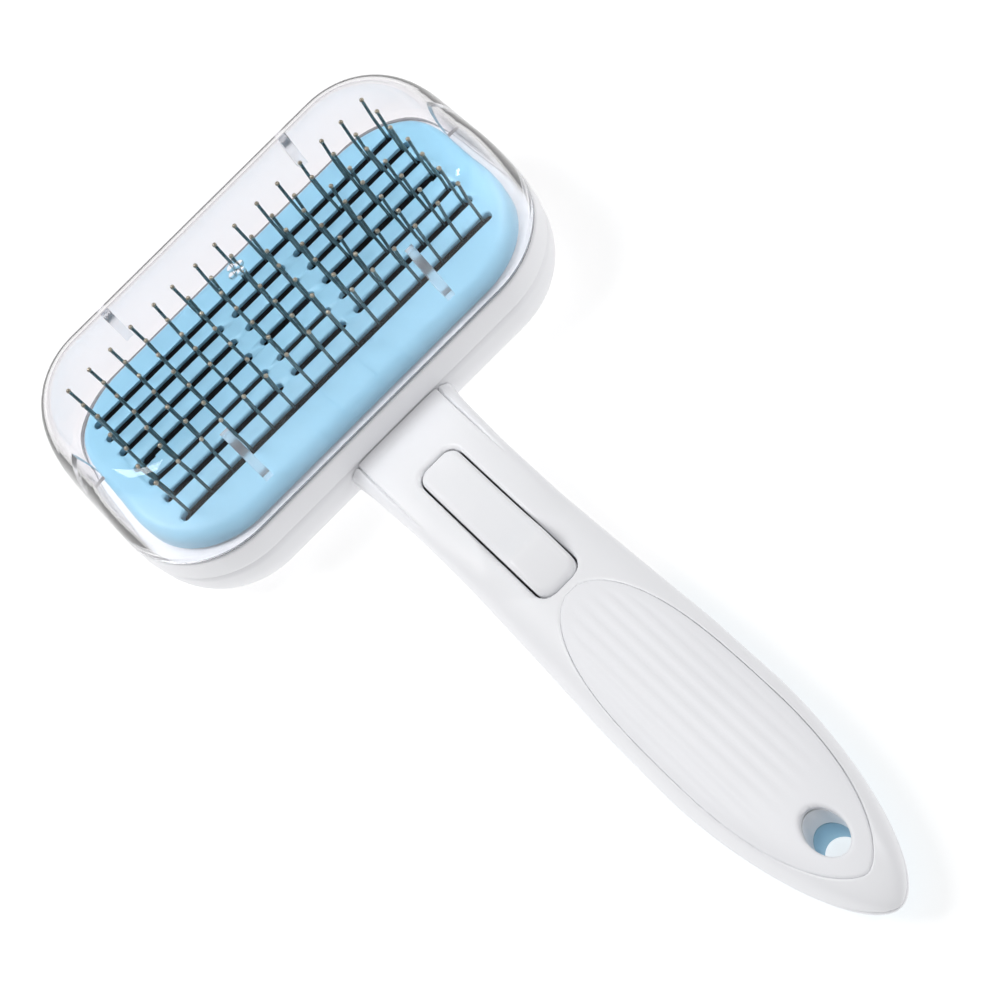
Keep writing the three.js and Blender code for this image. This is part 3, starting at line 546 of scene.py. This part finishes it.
def plate_block(name, inset, drop, low):
    """The plate's crowned block: a rolled edge all round, and a top that falls away to the long sides."""
    turn = np.linspace(0, math.pi / 2, 9)
    steps = [(PLATE_ROUND * (1 - math.cos(a)), PLATE_ROUND * (1 - math.sin(a))) for a in turn]
    steps += [(s, 0) for s in np.arange(PLATE_ROUND + 0.8, PLATE_Y - inset - 0.3, 0.9)]
    rings = []
    base = rounded(PLATE_X - inset, PLATE_Y - inset, PLATE_CORNER - inset, 22, 24, 2)
    rings.append([(x, y, low) for x, y in base])
    for drawn, fall in steps:
        total = inset + drawn
        corner = max(PLATE_CORNER - total, 0.15)
        outline = rounded(PLATE_X - total, PLATE_Y - total, corner, 22, 24, 2)
        rings.append([(x, y, plate_height(y) - drop - fall) for x, y in outline])
    return loft(name, rings)


def slot_outline(x0, x1, y, extra, sides=10):
    radius = SLOT_WIDTH / 2 + extra
    points = []
    for centre, start in [(x1 - SLOT_WIDTH / 2, -90), (x0 + SLOT_WIDTH / 2, 90)]:
        for step in range(sides + 1):
            angle = math.radians(start + 180 * step / sides)
            points.append((centre + radius * math.cos(angle), y + radius * math.sin(angle)))
    return points


def row_y(row):
    return ((ROWS - 1) / 2 - row) * ROW_PITCH


def slot_spans(row):
    half = BRIDGE_WIDTH / 2
    if row in (0, ROWS - 1):
        return [(-SLOT_REACH, SLOT_REACH)]
    left_end, right_end = -BRIDGE_X - half, BRIDGE_X + half
    middle = (left_end + BRIDGE_WIDTH, right_end - BRIDGE_WIDTH)
    return [(-SLOT_REACH, left_end), middle, (right_end, SLOT_REACH)]


def make_face_plate():
    plate = plate_block("plate", 0, 0, PLATE_LOW)
    cut(plate, plate_block("under", 1.5, PLATE_THICKNESS, PLATE_LOW - 3))
    for row in range(ROWS):
        y = row_y(row)
        for x0, x1 in slot_spans(row):
            levels = [(-5, 0), (plate_height(y) - 0.2, 0), (plate_height(y) - 0.08, 0.04),
                      (plate_height(y) + 0.02, 0.14), (plate_height(y) + 0.5, 0.5)]
            rings = [[(px, py, z) for px, py in slot_outline(x0, x1, y, extra)] for z, extra in levels]
            cut(plate, loft("slot", rings))
    for x in (-POST_X, POST_X):
        for y in (-POST_Y, POST_Y):
            top = plate_height(y) - PLATE_THICKNESS + 0.5
            post = prism("post", oval(y, POST_RADIUS, POST_RADIUS, 24), POST_LOW, top)
            post.data.transform(Matrix.Translation((x, 0, 0)))
            join(plate, post)
            bore = prism("bore", oval(y, POST_BORE, POST_BORE, 16), -15, -4.5)
            bore.data.transform(Matrix.Translation((x, 0, 0)))
            cut(plate, bore)
    return plate


# ---- Pins ----
chance = random.Random(11)


def tube(path, radius, sides=10):
    """Points and faces of a round wire along a path that runs upwards."""
    verts, faces = [], []
    for level, point in enumerate(path):
        before = path[max(level - 1, 0)]
        after = path[min(level + 1, len(path) - 1)]
        ahead = (Vector(after) - Vector(before)).normalized()
        side = ahead.cross(Vector((0, 1, 0))).normalized()
        other = ahead.cross(side)
        for step in range(sides):
            angle = 2 * math.pi * step / sides
            verts.append(Vector(point) + (side * math.cos(angle) + other * math.sin(angle)) * radius)
    for level in range(len(path) - 1):
        for step in range(sides):
            a = level * sides + step
            b = level * sides + (step + 1) % sides
            faces.append((a, b, b + sides, a + sides))
    faces += [tuple(range(sides)), tuple(range(len(verts) - sides, len(verts)))]
    return verts, faces


def ball(centre, radius, rings=6, sides=12):
    verts, faces = [], []
    for level in range(rings + 1):
        tilt = math.pi * (0.04 + 0.92 * level / rings)
        for step in range(sides):
            angle = 2 * math.pi * step / sides
            x, y = math.sin(tilt) * math.cos(angle), math.sin(tilt) * math.sin(angle)
            away = Vector((x, y, -math.cos(tilt)))
            verts.append(Vector(centre) + away * radius)
    for level in range(rings):
        for step in range(sides):
            a = level * sides + step
            b = level * sides + (step + 1) % sides
            faces.append((a, b, b + sides, a + sides))
    faces += [tuple(range(sides)), tuple(range(len(verts) - sides, len(verts)))]
    return verts, faces


def add_parts(parts):
    verts, faces = [], []
    for part_verts, part_faces in parts:
        start = len(verts)
        verts += part_verts
        faces += [tuple(i + start for i in face) for face in part_faces]
    return verts, faces


def pin_path(x, y):
    lean_x, lean_y = chance.gauss(0, LEAN_SPREAD_X), chance.gauss(0, LEAN_SPREAD_Y)
    bend = chance.gauss(0, BEND_SPREAD)
    tip_z = PIN_TIP - TIP_CROWN * y * y - chance.random() * TIP_SPREAD
    path = []
    bend_levels = [PIN_KNEE + step for step in (-1, -0.4, 0.2, 0.9)]
    for z in [CARRIER_TOP - 0.7, 5, 8, *bend_levels, 15.5, tip_z]:
        rise = z - CARRIER_TOP
        past = max(z - PIN_KNEE, 0)
        path.append((x + lean_x * rise + bend * past * 0.6, y + lean_y * min(rise, 10)
                     - past * math.tan(PIN_LEAN + bend), z))
    return path


def make_pins():
    for row in range(ROWS):
        y = row_y(row)
        wires, tips = [], []
        for pin in range(PINS):
            path = pin_path((pin - (PINS - 1) / 2) * PIN_PITCH, y)
            wires.append(tube(path, PIN_RADIUS))
            tips.append(ball(path[-1], TIP_RADIUS))
        wire_solid = solid("wires", *add_parts(wires))
        finish_piece(wire_solid, f"pin_wires_{row + 1}", "handle", [wire_steel],
                     [f"pin_row_{row + 1}"])
        tip_solid = solid("tips", *add_parts(tips))
        finish_piece(tip_solid, f"pin_tips_{row + 1}", "handle", [tip_steel])
        outline = rounded(STRIP_REACH, STRIP_WIDTH / 2, STRIP_CORNER, 5, 2, 2)
        strip = prism("strip", outline, STRIP_LOW, CARRIER_TOP)
        for x0, x1 in slot_spans(row):
            outline = rounded((x1 - x0) / 2 - 1.3, STRIP_WIDTH / 2 - 0.02, STRIP_CORNER, 5, 2, 2)
            raised = prism("raised", outline, STRIP_LOW + 0.5, plate_height(y) - STRIP_DEPTH)
            raised.data.transform(Matrix.Translation(((x0 + x1) / 2, 0, 0)))
            join(strip, raised)
        strip.data.transform(Matrix.Translation((0, y, 0)))
        finish_piece(strip, f"pin_strip_{row + 1}", "handle", [black_plastic])


# ---- Button ----
def make_button():
    centre = (BUTTON_START + BUTTON_END) / 2
    half_y = (BUTTON_START - BUTTON_END) / 2
    turn = np.linspace(0, math.pi / 2, 8)
    steps = [(BUTTON_ROUND * (1 - math.cos(a)), BUTTON_ROUND * (1 - math.sin(a))) for a in turn]
    steps += [(s, 0) for s in np.arange(BUTTON_ROUND + 0.3, BUTTON_X - 0.1, 0.45)]

    def ring(drawn, height):
        corner = max(BUTTON_CORNER - drawn, 0.1)
        outline = rounded(BUTTON_X - drawn, half_y - drawn, corner, BUTTON_CORNER_STEPS, 2, 80)
        return [(x, y + centre, height(y + centre)) for x, y in outline]

    rings = [ring(0.25, lambda y: BUTTON_UNDER), ring(0, lambda y: BUTTON_UNDER + 0.4)]
    for drawn, fall in steps:
        rings.append(ring(drawn, lambda y, fall=fall: float(along(BUTTON_PROFILE, y, 0.7)) - fall))
    across = 2 * (BUTTON_CORNER_STEPS + 1)
    return loft("button", rings, mirror=across)


# ---- Clear cover ----
def cover_inset(z):
    turn_in = 1 - (1 - min(z / COVER_TOP, 1) ** COVER_POWER) ** (1 / COVER_POWER)
    return COVER_DRAFT * z + COVER_ROUND * turn_in


def cover_block(name, wall):
    shares = np.sin(np.linspace(0, math.pi / 2, 40)) ** 0.8
    rings = [head_ring(wall, -3)]
    if wall == 0:
        rings = [head_ring(0.3, GAP), head_ring(0.12, GAP + 0.1), head_ring(cover_inset(RIM_TOP), RIM_TOP)]
    for share in shares[1:]:
        z = COVER_TOP * share
        slope = (cover_inset(z + 0.01) - cover_inset(z - 0.01)) / 0.02 if share < 0.999 else 1e3
        size = math.hypot(1, slope)
        thickness = wall * (1 - COVER_THINNING * share)
        rings.append(head_ring(cover_inset(z) + thickness / size, z - thickness * slope / size))
    return loft(name, rings)


def in_a_rib(spot):
    """Whether a place is on the free faces of a rib inside the cover."""
    half = RIB_THICKNESS / 2 + 0.02
    inner = cover_inset(min(max(spot.z, 0), COVER_TOP)) + COVER_WALL + 0.1
    along_side = abs(abs(spot.x) - RIB_X) < half and abs(spot.y) < HEAD_Y - inner
    at_end = abs(spot.y) < half and abs(spot.x) < HEAD_X - inner
    return 6 < spot.z < COVER_TOP - 1 and (along_side or at_end)


def make_cover():
    cover = cover_block("cover", 0)
    cut(cover, cover_block("inside", COVER_WALL))
    half = RIB_THICKNESS / 2
    wall_y = HEAD_Y - COVER_WALL
    inner_y = wall_y - RIB_DEPTH - 0.8
    limit = cover_block("limit", COVER_WALL / 2)
    for sign in (-1, 1):
        for x in (-RIB_X, RIB_X):
            side = [(sign * (wall_y + 1), RIB_LOW), (sign * (wall_y - 0.4), RIB_LOW),
                    (sign * inner_y, RIB_LOW_INSIDE), (sign * (inner_y - 1.2), COVER_TOP),
                    (sign * (wall_y + 1), COVER_TOP)]
            rib = cross_prism("rib", side, x - half, x + half)
            overlap(rib, limit, keep_tool=True)
            join(cover, rib)
        end_x = sign * (HEAD_X - COVER_WALL - RIB_DEPTH - 1.5)
        near_x, far_x = sorted((end_x, sign * HEAD_X))
        rib = box("rib", near_x, far_x, -half, half, END_RIB_LOW, COVER_TOP)
        overlap(rib, limit, keep_tool=True)
        join(cover, rib)
    bpy.data.objects.remove(limit)
    for turn in range(4):
        angle = math.radians(20 + 90 * turn)
        place = (GATE_X + GATE_SPREAD * math.cos(angle), GATE_Y + GATE_SPREAD * math.sin(angle),
                 COVER_TOP + GATE_LIFT)
        cut(cover, solid("gate", *ball(place, GATE_RADIUS, 14, 32)))
    return cover


# ---- Materials ----
def material(name, colour, roughness, metallic=0.0, bump=0.0, grain=900.0, shade=0.02, **sockets):
    """A moulded or drawn surface: slight colour and gloss changes, and a fine grain in its bump."""
    made = bpy.data.materials.new(name)
    made.use_nodes = True
    tree = made.node_tree
    shader = tree.nodes["Principled BSDF"]
    shader.inputs["Metallic"].default_value = metallic
    for socket, value in sockets.items():
        shader.inputs[socket.replace("_", " ")].default_value = value
    place = tree.nodes.new("ShaderNodeTexCoord")
    broad = tree.nodes.new("ShaderNodeTexNoise")
    broad.inputs["Scale"].default_value = 45
    broad.inputs["Detail"].default_value = 3
    fine = tree.nodes.new("ShaderNodeTexNoise")
    fine.inputs["Scale"].default_value = grain
    fine.inputs["Detail"].default_value = 2
    tree.links.new(place.outputs["Object"], broad.inputs["Vector"])
    tree.links.new(place.outputs["Object"], fine.inputs["Vector"])
    ramp = tree.nodes.new("ShaderNodeValToRGB")
    ramp.color_ramp.elements[0].position = 0.35
    ramp.color_ramp.elements[1].position = 0.65
    ramp.color_ramp.elements[0].color = [c * (1 - shade) for c in colour] + [1]
    ramp.color_ramp.elements[1].color = [min(c * (1 + shade), 1) for c in colour] + [1]
    tree.links.new(broad.outputs["Fac"], ramp.inputs["Fac"])
    tree.links.new(ramp.outputs["Color"], shader.inputs["Base Color"])
    gloss = tree.nodes.new("ShaderNodeMapRange")
    gloss.inputs["To Min"].default_value = roughness * 0.9
    gloss.inputs["To Max"].default_value = roughness * 1.1
    tree.links.new(broad.outputs["Fac"], gloss.inputs["Value"])
    tree.links.new(gloss.outputs["Result"], shader.inputs["Roughness"])
    if bump:
        lift = tree.nodes.new("ShaderNodeBump")
        lift.inputs["Strength"].default_value = bump
        lift.inputs["Distance"].default_value = 0.00005
        tree.links.new(fine.outputs["Fac"], lift.inputs["Height"])
        tree.links.new(lift.outputs["Normal"], shader.inputs["Normal"])
    return made


white_plastic = material("white_plastic", (0.89, 0.895, 0.915), 0.36, bump=0.12, grain=1600, shade=0.006)
white_rubber = material("white_rubber", (0.88, 0.885, 0.91), 0.55, bump=0.4, grain=2600, shade=0.008)
blue_plastic = material("blue_plastic", (0.31, 0.605, 0.79), 0.42, bump=0.2, grain=1500, shade=0.02)
blue_rubber = material("blue_rubber", (0.38, 0.62, 0.76), 0.6, bump=0.4, grain=2600, shade=0.015)
black_plastic = material("black_plastic", (0.003, 0.003, 0.004), 0.7, bump=0.1, grain=1500, shade=0.2,
                         Specular_IOR_Level=0.05)
grey_plastic = material("grey_plastic", (0.48, 0.5, 0.53), 0.5, bump=0.3, grain=1500, shade=0.03)
wire_steel = material("wire_steel", (0.16, 0.18, 0.168), 0.27, metallic=1.0, bump=0.3, grain=3500,
                      shade=0.15)
tip_steel = material("tip_steel", (0.42, 0.38, 0.3), 0.3, metallic=1.0, bump=0.2, grain=3500, shade=0.15)
screw_steel = material("screw_steel", (0.5, 0.5, 0.5), 0.35, metallic=1.0, bump=0.3, grain=2500, shade=0.1)
clear_plastic = material("clear_plastic", (0.945, 0.934, 0.947), 0.015, bump=0.02, grain=500, shade=0.004,
                         Transmission_Weight=1.0, IOR=1.46, Specular_Tint=(0.45, 0.45, 0.45, 1))
# The ribs are the same clear plastic, but this copy has a whitish, partly cloudy share. That share is
# painted light, standing in for the light the real ribs carry and replacing their dark inner reflections.
rib_plastic_painted_light = material("rib_plastic_painted_light", (0.93, 0.93, 0.96), 0.12, bump=0.1, grain=900, shade=0.01,
                       Transmission_Weight=0.8, IOR=1.46)
# Painted shade: a dark grey, half-clear finish for the cover's bottom rim, standing in for the shaded gap
# where the cover meets the shoulder and for the dark look of the rim's edge.
rim_painted_shade = material("rim_painted_shade", (0.22, 0.22, 0.24), 0.3, bump=0.1, grain=900, shade=0.03,
                       Transmission_Weight=0.5, IOR=1.46)


def let_light_through(made, tint):
    """Lets shadow rays pass, so that what stands under clear plastic is lit through it."""
    tree = made.node_tree
    ray = tree.nodes.new("ShaderNodeLightPath")
    passing = tree.nodes.new("ShaderNodeBsdfTransparent")
    passing.inputs["Color"].default_value = (*tint, 1)
    either = tree.nodes.new("ShaderNodeMixShader")
    tree.links.new(ray.outputs["Is Shadow Ray"], either.inputs["Fac"])
    tree.links.new(tree.nodes["Principled BSDF"].outputs["BSDF"], either.inputs[1])
    tree.links.new(passing.outputs["BSDF"], either.inputs[2])
    tree.links.new(either.outputs["Shader"], tree.nodes["Material Output"].inputs["Surface"])


let_light_through(clear_plastic, (0.93, 0.94, 0.95))
let_light_through(rib_plastic_painted_light, (0.8, 0.8, 0.82))

# ---- Build ----
finish_piece(make_handle_front(), "handle_front_skin", "handle", [white_plastic],
             ["handle_front"])
finish_piece(make_front_grip(), "front_grip_pad", "handle", [white_rubber], ["front_grip"])
finish_piece(make_back_shell(), "back_shell_skin", "handle", [white_plastic], ["back_shell"])
finish_piece(make_rear_grip(), "rear_grip_pad", "handle", [blue_rubber], ["rear_grip"])
finish_piece(make_head_frame(), "head_frame_band", "handle", [white_plastic], ["head_frame"])
finish_piece(make_face_plate(), "face_plate_moulding", "plate", [blue_plastic], ["face_plate"],
             sharp=50)
finish_piece(make_button(), "button_cap", "button", [white_plastic], ["thumb_button"])
cover = finish_piece(make_cover(), "cover_moulding", "cover",
                     [clear_plastic, rib_plastic_painted_light, rim_painted_shade], ["clear_cover"], sharp=18)
# The ribs' free faces get the paler clear plastic with its share of painted light.
paint_faces(cover, 1, in_a_rib)
# The faces of the cover's bottom rim get the dark grey painted shade.
paint_faces(cover, 2, lambda spot: spot.z < RIM_TOP)
make_pins()

CAD_FINISHES = {"pin_carrier": black_plastic, "lift_frame": grey_plastic, "lever_arm": grey_plastic}
for name, node in nodes.items():
    node.data.materials.clear()
    node.data.materials.append(CAD_FINISHES.get(name, screw_steel))

# ---- Floor, light and camera ----
FLOOR_REACH, FLOOR_DROP, FLOOR_GLOW = 3.0, 0.0003, 0.7
floor_mesh = bpy.data.meshes.new("floor")
corners = [(-FLOOR_REACH, -FLOOR_REACH, 0), (FLOOR_REACH, -FLOOR_REACH, 0),
           (FLOOR_REACH, FLOOR_REACH, 0), (-FLOOR_REACH, FLOOR_REACH, 0)]
floor_mesh.from_pydata(corners, [], [(0, 1, 2, 3)])
floor = bpy.data.objects.new("floor", floor_mesh)
bpy.context.scene.collection.objects.link(floor)
floor.location = (0, 0, cad_low.z - FLOOR_DROP)
floor_paint = material("floor_paint", (0.4, 0.4, 0.4), 0.9, shade=0.01)
floor_shader = floor_paint.node_tree.nodes["Principled BSDF"]
floor_shader.inputs["Emission Color"].default_value = (1, 1, 1, 1)
floor_shader.inputs["Emission Strength"].default_value = FLOOR_GLOW
floor.data.materials.append(floor_paint)

scene = bpy.context.scene
scene.view_settings.view_transform = "Standard"
world = bpy.data.worlds.new("studio")
scene.world = world
world.use_nodes = True
sky = world.node_tree
heading = sky.nodes.new("ShaderNodeTexCoord")
split = sky.nodes.new("ShaderNodeSeparateXYZ")
tone = sky.nodes.new("ShaderNodeValToRGB")
tone.color_ramp.elements[0].position = 0.0
tone.color_ramp.elements[0].color = (0.76, 0.75, 0.82, 1)
tone.color_ramp.elements[1].position = 0.55
tone.color_ramp.elements[1].color = (1, 1, 1, 1)
sky.links.new(heading.outputs["Generated"], split.inputs["Vector"])
sky.links.new(split.outputs["Z"], tone.inputs["Fac"])
# A darker part of the room, above and beyond the head, keeps the cover's flat top free of glare.
toward = sky.nodes.new("ShaderNodeVectorMath")
toward.operation = "DOT_PRODUCT"
toward.inputs[1].default_value = (0.047, 0.557, 0.829)
shade = sky.nodes.new("ShaderNodeMapRange")
shade.interpolation_type = "SMOOTHSTEP"
shade.inputs["From Min"].default_value = 0.86
shade.inputs["From Max"].default_value = 0.97
shade.inputs["To Min"].default_value = 0.45
shade.inputs["To Max"].default_value = 0.04
sky.links.new(heading.outputs["Generated"], toward.inputs[0])
sky.links.new(toward.outputs["Value"], shade.inputs["Value"])
sky.links.new(tone.outputs["Color"], sky.nodes["Background"].inputs["Color"])
sky.links.new(shade.outputs["Result"], sky.nodes["Background"].inputs["Strength"])

# Two lamps, in metres, turned to this place on the head
LIT_PLACE = Vector((0, 0.02, 0.02))


def soft_light(name, place, side, power):
    data = bpy.data.lights.new(name, "AREA")
    data.shape = "RECTANGLE"
    data.size, data.size_y = side, side
    data.energy = power
    lamp = bpy.data.objects.new(name, data)
    lamp.location = place
    lamp.rotation_mode = "QUATERNION"
    lamp.rotation_quaternion = (Vector(place) - LIT_PLACE).to_track_quat("Z", "Y")
    scene.collection.objects.link(lamp)


soft_light("key", (-0.45, 0.3, 0.95), 0.44, 6.1)
soft_light("fill", (0.75, -0.15, 0.6), 0.12, 1.8)

# The camera looks down the brush from beyond the handle, turned so that the handle runs to one corner.
AZIMUTH, ELEVATION, ROLL = math.radians(-4.78), math.radians(56), math.radians(3.94)
TARGET = Vector((2.78, -57.55, 0))
DISTANCE = 512.5
SENSOR_WIDTH, LENS = 36, 105.087
right = Vector((math.cos(AZIMUTH), math.sin(AZIMUTH), 0))
back = Vector((math.sin(AZIMUTH) * math.cos(ELEVATION), -math.cos(AZIMUTH) * math.cos(ELEVATION),
               math.sin(ELEVATION)))
up = back.cross(right)
turned = ROLL - math.radians(45)
camera_x = right * math.cos(turned) + up * math.sin(turned)
camera_y = up * math.cos(turned) - right * math.sin(turned)
camera_data = bpy.data.cameras.new("camera")
camera = bpy.data.objects.new("camera", camera_data)
scene.collection.objects.link(camera)
camera_data.sensor_width = SENSOR_WIDTH
camera_data.lens = LENS
camera_data.clip_start = 0.01
place = INTO_FRAME @ (TARGET + back * DISTANCE)
camera.matrix_world = Matrix((
    (camera_x.x, camera_y.x, back.x, place.x),
    (camera_x.y, camera_y.y, back.y, place.y),
    (camera_x.z, camera_y.z, back.z, place.z),
    (0, 0, 0, 1),
))
scene.camera = camera

bpy.context.view_layer.update()
